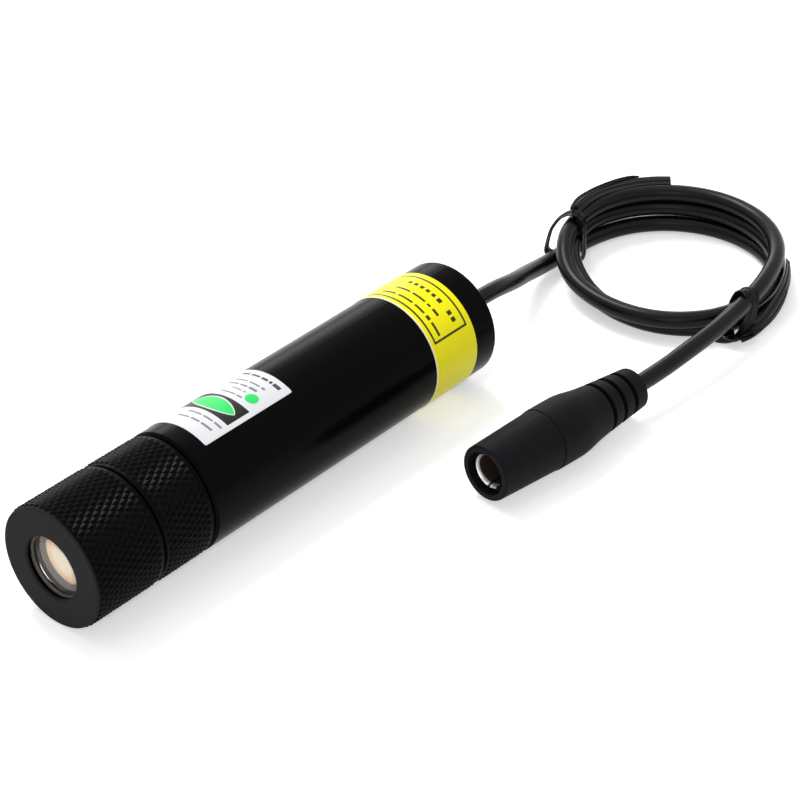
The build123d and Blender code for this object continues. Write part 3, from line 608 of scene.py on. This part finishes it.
bandLabel = {
    "paper": (0.92, 0.83, 0.006),
    "ink": (0.035, 0.033, 0.004),
    # edge: painted highlight, a light strip along the band's front edge
    "edge": (0.84, 0.81, 0.52),
    "frame": (30.0, 158.0, 82.45, 91.2),  # low angle, high angle, front, back
    "frameLine": 0.42,  # mm
    "edgeHighlightEnd": 81.75,  # mm from the barrel's front, a painted highlight along the band's front edge lies before this
    "bars": [(35, 49, 84.0, 84.55), (52, 57, 83.9, 84.65), (60, 72, 84.0, 84.5), (75, 92, 84.0, 84.5),
             (95, 112, 84.0, 84.5), (51, 59, 86.1, 86.7), (62, 66, 86.1, 86.6), (69, 84, 86.1, 86.6),
             (87, 104, 86.1, 86.6), (39, 43.5, 88.4, 89.4), (46, 50.5, 88.4, 89.4), (60, 65, 88.4, 89.4),
             (68, 72, 88.5, 89.3), (75, 79, 88.5, 89.3), (82, 86, 88.5, 89.3), (89, 93, 88.5, 89.3),
             (96, 100, 88.5, 89.3)],
    "rough": 0.32,
    "gloss": 0.16,
}
sheetLook = {"grainSize": 0.25, "stainSize": 6.0, "roughSpread": 0.08, "duller": 0.94, "bump": 0.1, "bumpDepth": 0.01}


def barrelPlace(tree):
    # degrees round the barrel from +X towards +Z, and mm from its front
    vector = objectPlace(tree)
    up = math2(tree, "SUBTRACT", axisPart(tree, vector, "Z"), axisHeight * mm)
    angle = math2(tree, "MULTIPLY", math2(tree, "ARCTAN2", up, axisPart(tree, vector, "X")), math.degrees(1))
    along = math2(tree, "MULTIPLY_ADD", axisPart(tree, vector, "Y"), 1 / mm, -barrelFront)
    return vector, angle, along


def boxMask(tree, angle, along, box):
    low, high, front, back = box
    return useGroup(tree, groups["box"], angle=angle, along=along, lowAngle=float(low), highAngle=float(high),
                    front=front, back=back).outputs["mask"]


def roundMask(tree, angle, along, oval):
    middleAngle, middle, halfAngle, half, fullness = oval
    return useGroup(tree, groups["round"], angle=angle, along=along, middleAngle=middleAngle, middle=middle,
                    halfAngle=halfAngle, half=half, fullness=fullness).outputs["mask"]


def joined(tree, masks):
    total = masks[0]
    for mask in masks[1:]:
        total = math2(tree, "MAXIMUM", total, mask)
    return total


def printedSheet(name, label):
    # film with a soft gloss; its print comes from the caller
    material, tree, shader = newMaterial(name)
    vector, angle, along = barrelPlace(tree)
    grain = useGroup(tree, groups["grain"], vector=vector, grainSize=sheetLook["grainSize"],
                     stainSize=sheetLook["stainSize"])
    rough = math2(tree, "MULTIPLY_ADD", grain.outputs["stain"], sheetLook["roughSpread"], label["rough"])
    tree.links.new(rough, shader.inputs["Roughness"])
    addBump(tree, shader, grain.outputs["height"], sheetLook)
    shader.inputs["Specular IOR Level"].default_value = label["gloss"]
    dull = tuple(part * sheetLook["duller"] for part in label["paper"])
    paper = mixColor(tree, grain.outputs["stain"], label["paper"], dull)
    return material, tree, shader, angle, along, paper


def makeNameLabel(label):
    material, tree, shader, angle, along, color = printedSheet("nameLabelFilm", label)
    for bars, ink in (("bars", "grey"), ("darkBars", "darkGrey")):
        mask = joined(tree, [boxMask(tree, angle, along, box) for box in label[bars]])
        color = mixColor(tree, mask, color, label[ink])
    color = mixColor(tree, boxMask(tree, angle, along, label["square"]), color, label["ink"])
    for oval, ink in (("lensRim", "paper"), ("lens", "green"), ("dot", "green")):
        color = mixColor(tree, roundMask(tree, angle, along, label[oval]), color, label[ink])
    tree.links.new(color, shader.inputs["Base Color"])
    return material


def makeBandLabel(label):
    material, tree, shader, angle, along, color = printedSheet("bandLabelFilm", label)
    masks = [boxMask(tree, angle, along, box) for box in label["bars"]]
    low, high, front, back = label["frame"]
    line = label["frameLine"]
    turn = math.degrees(line / barrelRadius)
    inner = boxMask(tree, angle, along, (low + turn, high - turn, front + line, back - line))
    masks.append(math2(tree, "SUBTRACT", boxMask(tree, angle, along, label["frame"]), inner))
    color = mixColor(tree, joined(tree, masks), color, label["ink"])
    # painted highlight along the band's front edge
    color = mixColor(tree, math2(tree, "LESS_THAN", along, label["edgeHighlightEnd"]), color, label["edge"])
    tree.links.new(color, shader.inputs["Base Color"])
    return material


dress(makeNameLabel(nameLabel), "name_label")
dress(makeBandLabel(bandLabel), "band_label")
print("labels printed")


# knurled cap and lock ring: a turned body, and diamonds that Geometry Nodes set round it

knurlSize = {
    "around": 54,
    "outer": 11.0,
    "depth": 0.26,
    "chamfer": 0.45,
    "flat": 0.16,  # share of a diamond that is left flat on its top
    "sink": 0.01,  # from the diamonds' feet down to the turned body
    "segments": 192,
    "sharpAngle": 12,
}
capSize = {
    "start": -49.0, "stop": -34.3, "rows": 14, "bore": 9.06,
    "aperture": 5.6, "rim": 0.3, "wall": 0.9, "pocket": 8.4, "pocketBack": -45.0,
}
ringSize = {"start": -33.9, "stop": -23.1, "rows": 10, "bore": 9.06}


def turned(name, profile):
    # closed ring from a closed profile of (place along Y, radius), in mm
    bm = bmesh.new()
    rings = [[roundPoint(bm, along, radius, angle) for along, radius in profile]
             for angle in roundAngles(knurlSize["segments"])]
    skin(bm, rings, True)
    return meshObject(bm, name, knurlSize["sharpAngle"])


knurlInputs = {
    "body": "Geometry", "around": "Int", "rows": "Int", "start": "Float", "stop": "Float", "outer": "Float",
    "depth": "Float", "chamfer": "Float", "flat": "Float", "axisHeight": "Float", "finish": "Material",
}


def makeKnurlTree():
    tree = bpy.data.node_groups.new("diamondKnurl", "GeometryNodeTree")
    for label, kind in knurlInputs.items():
        tree.interface.new_socket(name=label, in_out="INPUT", socket_type="NodeSocket" + kind)
    tree.interface.new_socket(name="knurled", in_out="OUTPUT", socket_type="NodeSocketGeometry")
    given = tree.nodes.new("NodeGroupInput").outputs
    end = tree.nodes.new("NodeGroupOutput")

    low = math2(tree, "SUBTRACT", given["outer"], given["depth"])
    step = math2(tree, "DIVIDE", math2(tree, "SUBTRACT", given["stop"], given["start"]), given["rows"])
    turn = math2(tree, "DIVIDE", 2 * math.pi, given["around"])

    # where the diamonds stand: rows shifted by half a pitch
    index = tree.nodes.new("GeometryNodeInputIndex").outputs[0]
    row = math2(tree, "FLOOR", math2(tree, "DIVIDE", math2(tree, "ADD", index, 0.5), given["around"]))
    shift = math2(tree, "MULTIPLY", math2(tree, "MODULO", row, 2.0), 0.5)
    angle = math2(tree, "MULTIPLY", math2(tree, "ADD", index, shift), turn)
    points = tree.nodes.new("GeometryNodePoints")
    rowsAndOne = math2(tree, "ADD", given["rows"], 1.0)
    tree.links.new(math2(tree, "MULTIPLY", rowsAndOne, given["around"]), points.inputs["Count"])
    spot = combined(tree, math2(tree, "MULTIPLY", math2(tree, "SINE", angle), low),
                    math2(tree, "MULTIPLY_ADD", row, step, given["start"]),
                    math2(tree, "MULTIPLY_ADD", math2(tree, "COSINE", angle), low, given["axisHeight"]))
    tree.links.new(spot, points.inputs["Position"])

    # one diamond: a low frustum with four sides
    cone = tree.nodes.new("GeometryNodeMeshCone")
    cone.inputs["Vertices"].default_value = 4
    cone.inputs["Radius Bottom"].default_value = 1.0
    cone.inputs["Depth"].default_value = 1.0
    tree.links.new(given["flat"], cone.inputs["Radius Top"])
    shape = tree.nodes.new("GeometryNodeTransform")
    halfPitch = math2(tree, "MULTIPLY", math2(tree, "MULTIPLY", turn, low), 0.5)
    tree.links.new(cone.outputs["Mesh"], shape.inputs["Geometry"])
    tree.links.new(combined(tree, halfPitch, step, given["depth"]), shape.inputs["Scale"])

    spread = tree.nodes.new("GeometryNodeInstanceOnPoints")
    tree.links.new(points.outputs[0], spread.inputs["Points"])
    tree.links.new(shape.outputs[0], spread.inputs["Instance"])
    tree.links.new(combined(tree, 0.0, angle, 0.0), spread.inputs["Rotation"])
    real = tree.nodes.new("GeometryNodeRealizeInstances")
    tree.links.new(spread.outputs[0], real.inputs[0])

    # the two chamfers cut the diamonds that reach past them
    position = tree.nodes.new("GeometryNodeInputPosition").outputs[0]
    x, y, z = (axisPart(tree, position, axis) for axis in "XYZ")
    up = math2(tree, "SUBTRACT", z, given["axisHeight"])
    reach = math2(tree, "SQRT", math2(tree, "ADD", math2(tree, "MULTIPLY", x, x), math2(tree, "MULTIPLY", up, up)))
    along = math2(tree, "MINIMUM", math2(tree, "MAXIMUM", y, given["start"]), given["stop"])
    toEnd = math2(tree, "MINIMUM", math2(tree, "SUBTRACT", along, given["start"]),
                  math2(tree, "SUBTRACT", given["stop"], along))
    limit = math2(tree, "ADD", math2(tree, "SUBTRACT", given["outer"], given["chamfer"]), toEnd)
    share = math2(tree, "DIVIDE", math2(tree, "MINIMUM", reach, limit), reach)
    cut = combined(tree, math2(tree, "MULTIPLY", x, share), along,
                   math2(tree, "MULTIPLY_ADD", up, share, given["axisHeight"]))
    move = tree.nodes.new("GeometryNodeSetPosition")
    tree.links.new(real.outputs[0], move.inputs["Geometry"])
    tree.links.new(cut, move.inputs["Position"])

    join = tree.nodes.new("GeometryNodeJoinGeometry")
    tree.links.new(given["body"], join.inputs[0])
    tree.links.new(move.outputs[0], join.inputs[0])
    finishNode = tree.nodes.new("GeometryNodeSetMaterial")
    tree.links.new(join.outputs[0], finishNode.inputs["Geometry"])
    tree.links.new(given["finish"], finishNode.inputs["Material"])
    tree.links.new(finishNode.outputs[0], end.inputs[0])
    return tree


def knurl(piece, size, tree, finishMaterial):
    values = {
        "around": knurlSize["around"], "rows": size["rows"], "start": size["start"] * mm, "stop": size["stop"] * mm,
        "outer": knurlSize["outer"] * mm, "depth": knurlSize["depth"] * mm, "chamfer": knurlSize["chamfer"] * mm,
        "flat": knurlSize["flat"], "axisHeight": axisHeight * mm, "finish": finishMaterial,
    }
    modifier = piece.modifiers.new("diamonds", "NODES")
    modifier.node_group = tree
    for item in tree.interface.items_tree:
        if item.item_type == "SOCKET" and item.in_out == "INPUT" and item.name in values:
            modifier[item.identifier] = values[item.name]
    mesh = plainMesh(piece, knurlSize["sharpAngle"])
    piece.modifiers.remove(modifier)
    piece.data = mesh


def knurledEnds(start, stop):
    # outer profile between the two chamfers, just under the diamonds' feet
    rim = knurlSize["outer"] - knurlSize["chamfer"]
    foot = knurlSize["outer"] - knurlSize["depth"] - knurlSize["sink"]
    slope = foot - rim
    return [(start, rim), (start + slope, foot), (stop - slope, foot), (stop, rim)]


def makeCap(size):
    start, stop = size["start"], size["stop"]
    profile = [(start + size["wall"], size["aperture"]), (start + size["rim"], size["aperture"]),
               (start, size["aperture"] + size["rim"])]
    profile += knurledEnds(start, stop)
    profile += [(stop, size["bore"]), (size["pocketBack"], size["bore"]), (size["pocketBack"], size["pocket"]),
                (start + size["wall"], size["pocket"])]
    return turned("knurledCap", profile)


def makeRing(size):
    profile = knurledEnds(size["start"], size["stop"]) + [(size["stop"], size["bore"]), (size["start"], size["bore"])]
    return turned("knurledRing", profile)


knurlTree = makeKnurlTree()
for piece, size, body, node in ((makeCap(capSize), capSize, "cap", "focus_cap"),
                                (makeRing(ringSize), ringSize, "lock", "lock_ring")):
    knurl(piece, size, knurlTree, capFinish)
    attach(piece, body)
    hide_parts(node)
print("knurl cut")


# socket's outer contact: two sprung leaves with flared lips inside the insert

leafSize = {
    "place": (31.2, 20.9, 5.85),  # middle of the socket's mouth
    "turn": 5.24,  # degrees, from Y towards X
    # depth and radius round the section: the inner face from its lip to the back, and the outer face forwards
    "section": [(1.12, 3.15), (1.35, 3.02), (1.8, 2.85), (2.5, 2.72), (11.0, 2.72), (11.0, 2.9), (2.6, 2.9),
                (1.9, 3.04), (1.45, 3.16), (1.12, 3.19)],
    "leaves": [(128, 264), (272, 302)],  # degrees round the mouth from +X
    "step": 4,
    "sharpAngle": 35,
}


def socketPlace(size, depth, radius, angle):
    turn, around = math.radians(size["turn"]), math.radians(angle)
    along = Vector((math.sin(turn), math.cos(turn), 0))
    side = Vector((math.cos(turn), -math.sin(turn), 0))
    reach = side * math.cos(around) + Vector((0, 0, 1)) * math.sin(around)
    return (Vector(size["place"]) + along * depth + reach * radius) * mm


def makeLeaves(size):
    bm = bmesh.new()
    for low, high in size["leaves"]:
        steps = max(2, round((high - low) / size["step"]))
        rings = []
        for i in range(steps + 1):
            angle = low + (high - low) * i / steps
            rings.append([bm.verts.new(socketPlace(size, depth, radius, angle)) for depth, radius in size["section"]])
        cappedSkin(bm, rings, False)
    return meshObject(bm, "socketLeaves", size["sharpAngle"])


socketLeaves = makeLeaves(leafSize)
socketLeaves.data.materials.append(leafFinish)
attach(socketLeaves, "module")
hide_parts("socket_contact")
print("socket leaves bent")


# front lens: clean spherical faces, since it is looked through

lensSize = {
    "front": -47.45, "back": -45.55, "frontRise": 0.35, "backRise": 1.6, "radius": 5.9, "steps": 12, "segments": 96,
    "sharpAngle": 35,
}


def makeLens(size):
    bm = bmesh.new()
    profile, tips = [], []
    steps, radius = size["steps"], size["radius"]
    for edge, rise, side in ((size["front"], size["frontRise"], -1), (size["back"], size["backRise"], 1)):
        ball = (radius**2 + rise**2) / (2 * rise)
        tips.append(edge + side * rise)
        face = []
        for i in range(1, steps + 1):
            reach = radius * i / steps
            face.append((edge + side * (math.sqrt(ball**2 - reach**2) - (ball - rise)), reach))
        profile += face if side < 0 else face[::-1]
    angles = roundAngles(size["segments"])
    rings = [[roundPoint(bm, along, reach, angle) for angle in angles] for along, reach in profile]
    skin(bm, rings, False)
    for tip, ring in zip(tips, (rings[0], rings[-1])):
        middle = roundPoint(bm, tip, 0, 0)
        for here, following in zip(ring, ring[1:] + ring[:1]):
            bm.faces.new((middle, here, following))
    return meshObject(bm, "frontLens", size["sharpAngle"])


frontLens = makeLens(lensSize)
frontLens.data.materials.append(glass["coatedLens"])
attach(frontLens, "cell")
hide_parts("output_lens")
print("lens ground")


# cord: one NURBS line from the strain relief through the coil to the socket

cordSize = {
    "diameter": 3.3,
    "start": [(0, 56.0, 11.0), (0, 61.2, 11.0), (-1.7, 69.8, 8.3), (-4.7, 78.0, 5.2), (-6.9, 86.5, 2.4)],
    "perTurn": 12,
    # height and reach of each point of the loops, from the left and clockwise seen from above
    "turns": [(1.65, 19.9), (1.65, 19.3), (1.65, 19.4), (1.65, 20.0), (1.65, 20.7), (1.65, 21.2),
              (1.65, 21.5), (1.65, 21.8), (1.65, 20.8), (1.65, 19.2), (2.5, 18.8), (4.7, 20.3),
              (4.95, 20.9), (4.95, 20.3), (4.95, 20.2), (4.95, 20.4), (4.95, 20.6), (4.95, 20.9),
              (4.8, 21.6), (4.4, 22.7), (4.2, 22.8), (4.0, 21.8), (5.0, 22.1), (7.4, 21.3),
              (8.25, 20.3), (8.25, 20.0), (8.25, 20.0), (8.25, 20.2), (8.25, 20.3), (8.15, 20.5), (7.7, 21.3)],
    "end": [(34.9, 91.6, 6.9), (35.6, 83.0, 6.8), (35.6, 74.0, 6.5), (35.2, 64.5, 5.95), (34.61, 58.04, 5.85)],
    "length": 404,
    "resolution": 12,
    "bevelSteps": 5,
    "order": 3,
}


def cordRoute(size):
    points = list(size["start"])
    for i, (height, reach) in enumerate(size["turns"]):
        angle = math.pi - 2 * math.pi * i / size["perTurn"]
        points.append((coilCenter[0] + reach * math.cos(angle), coilCenter[1] + reach * math.sin(angle), height))
    return points + size["end"]


def makeCord(size):
    data = bpy.data.curves.new("powerCord", "CURVE")
    data.dimensions = "3D"
    data.resolution_u = size["resolution"]
    data.bevel_depth = size["diameter"] / 2 * mm
    data.bevel_resolution = size["bevelSteps"]
    data.use_fill_caps = True
    route = cordRoute(size)
    line = data.splines.new("NURBS")
    line.points.add(len(route) - 1)
    for point, spot in zip(line.points, route):
        point.co = (*(Vector(spot) * mm), 1)
    line.order_u = size["order"]
    line.use_endpoint_u = True
    line.resolution_u = size["resolution"]
    return makeObject("powerCord", data)


powerCord = makeCord(cordSize)
powerCord.data.materials.append(finishes["cordBlack"])
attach(powerCord, "module")
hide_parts("cord_lead", "cord_coil", "cord_tail")
print("cord laid")


# twist ties: flat strips with a wire in the middle, bent round the coil

tieSize = {
    "width": 2.3,
    "thickness": 0.26,
    "ridge": 0.32,  # half height over the wire
    "ridgeTop": 0.15,  # half widths of the ridge
    "ridgeFoot": 0.375,
    "steps": 5,
    "leastShare": 0.1,  # of the width
    "thicknessShare": 1.6,  # thin ends keep this much more of their thickness than of their width
    "floorGap": 0.02,
    "sharpAngle": 28,
    # each strip is closed or open, with angle round the coil, reach, height, twist in degrees and share of the width
    "leftTie": [
        (True, [(198, 18.2, 0.2, 0, 1), (198, 18.0, 4.5, 0, 1), (198, 18.2, 8.6, 0, 1), (198, 19.4, 10.1, 0, 1),
                (198, 21.0, 10.1, 0, 1), (198, 23.0, 8.6, 0, 1), (198, 24.6, 6.0, 0, 1), (198, 25.3, 3.4, 0, 1),
                (198, 25.6, 0.9, 0, 1), (198, 24.6, 0.2, 0, 1), (198, 21.5, 0.2, 0, 1)]),
        (False, [(201, 18.5, 6.6, 0, 0.6), (201, 18.5, 7.8, 120, 0.7), (200, 18.9, 9.0, 240, 0.7),
                 (198, 19.8, 10.1, 360, 0.75), (195, 20.8, 10.5, 480, 0.75), (191, 21.0, 10.5, 540, 0.7)]),
        (False, [(196, 20.7, 10.3, 60, 0.7), (188, 21.0, 10.5, 40, 0.8), (176, 21.4, 10.2, 30, 0.8),
                 (165, 21.8, 10.1, 28, 0.75), (155, 22.3, 10.2, 28, 0.6), (147, 22.7, 10.3, 28, 0.4),
                 (143, 22.8, 10.3, 28, 0.12)]),
        (False, [(194, 20.3, 10.3, 30, 0.8), (184, 20.5, 10.3, 16, 1), (172, 20.8, 10.15, 8, 1.1),
                 (158, 21.0, 10.0, 6, 1.2), (144, 21.1, 9.98, 6, 1.2), (134, 21.15, 9.97, 6, 1.2),
                 (127, 21.2, 9.96, 6, 1.15)]),
    ],
    "rightTie": [
        (True, [(-19, 19.5, 0.9, 0, 1.2), (-18, 19.6, 3.8, 0, 1.35), (-17.5, 20.2, 6.3, 0, 1.4),
                (-17, 21.1, 8.3, 0, 1.35), (-17, 22.6, 9.3, 0, 1.3), (-17.5, 24.1, 8.9, 0, 1.25),
                (-18, 24.9, 7.4, 0, 1.2), (-19, 25.1, 5.2, 0, 1.2), (-20.5, 25.1, 3.2, 0, 1.2),
                (-23, 25.1, 1.2, 0, 1.2), (-26, 24.8, 0.25, 0, 1.1), (-26, 22.5, 0.2, 0, 1.1),
                (-22, 20.2, 0.2, 0, 1.1)]),
        (False, [(-34, 23.8, 0.8, 90, 0.8), (-31, 25.1, 0.9, 110, 1.1), (-28, 25.9, 1.1, 140, 1.15),
                 (-24, 26.0, 1.5, 165, 1.25), (-20, 25.8, 2.0, 190, 1.2), (-16, 25.5, 2.6, 220, 1.0)]),
        (False, [(-24, 25.6, 1.2, -100, 1.0), (-18, 25.4, 1.8, -105, 1.2), (-10, 24.8, 2.6, -108, 1.2),
                 (-2, 24.1, 3.6, -110, 1.2), (6, 23.6, 4.6, -112, 1.15), (14, 23.2, 5.4, -112, 1.1),
                 (22, 22.7, 6.0, -112, 1.0), (29, 22.2, 6.5, -112, 0.8)]),
        (False, [(-29, 24.4, 0.8, -60, 0.7), (-22, 24.9, 0.9, -70, 0.9), (-13, 24.9, 1.3, -80, 0.9),
                 (-4, 24.6, 2.2, -90, 0.85), (5, 24.1, 3.4, -100, 0.7), (12, 23.8, 4.2, -105, 0.3)]),
    ],
}


def bend(points, position, closed):
    # smooth line through the points, at a place counted in points
    count = len(points)
    low = math.floor(position)
    share = position - low
    near = []
    for k in (low - 1, low, low + 1, low + 2):
        near.append(Vector(points[k % count] if closed else points[min(max(k, 0), count - 1)]))
    a, b, c, d = near
    return 0.5 * (2 * b + (c - a) * share + (2 * a - 5 * b + 4 * c - d) * share**2 + (3 * b - a - 3 * c + d) * share**3)


def stripSection(size):
    thin = size["thickness"] / 2
    right = [(size["ridgeTop"], size["ridge"]), (size["ridgeFoot"], thin), (size["width"] / 2, thin)]
    top = [(-across, rise) for across, rise in reversed(right)] + right
    return top + [(across, -rise) for across, rise in reversed(top)]


def layStrip(bm, size, closed, points):
    stops = len(points) * size["steps"] if closed else (len(points) - 1) * size["steps"] + 1
    samples = [bend([point[:3] for point in points], i / size["steps"], closed) for i in range(stops)]
    # twist and width share a second line
    extras = [bend([(point[3], point[4], 0) for point in points], i / size["steps"], closed) for i in range(stops)]
    places, outwards = [], []
    for angle, reach, height in samples:
        around = math.radians(angle)
        outward = Vector((math.cos(around), math.sin(around), 0))
        places.append(Vector((*coilCenter, 0)) + outward * reach + Vector((0, 0, height)))
        outwards.append(outward)
    rings = []
    for i, (place, outward, extra) in enumerate(zip(places, outwards, extras)):
        before = places[i - 1] if closed or i else place
        after = places[(i + 1) % stops] if closed or i < stops - 1 else place
        ahead = (after - before).normalized()
        start = Vector((-outward.y, outward.x, 0)) if closed else outward  # loops stand across the turns
        start = (start - ahead * start.dot(ahead)).normalized()
        twist = math.radians(extra.x)
        side = start * math.cos(twist) + ahead.cross(start) * math.sin(twist)
        rise = ahead.cross(side)
        share = max(extra.y, size["leastShare"])
        ring = []
        for across, tall in stripSection(size):
            spot = place + side * across * share + rise * tall * min(1, share * size["thicknessShare"])
            ring.append(bm.verts.new((spot.x * mm, spot.y * mm, max(spot.z, size["floorGap"]) * mm)))
        rings.append(ring)
    cappedSkin(bm, rings, closed)


def makeTie(name, size):
    bm = bmesh.new()
    for closed, points in size[name]:
        layStrip(bm, size, closed, points)
    return meshObject(bm, name, size["sharpAngle"])


for name, node in (("leftTie", "tie_left"), ("rightTie", "tie_right")):
    tie = makeTie(name, tieSize)
    tie.data.materials.append(finishes["tieBlack"])
    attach(tie, "module")
    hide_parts(node)
print("ties bent")
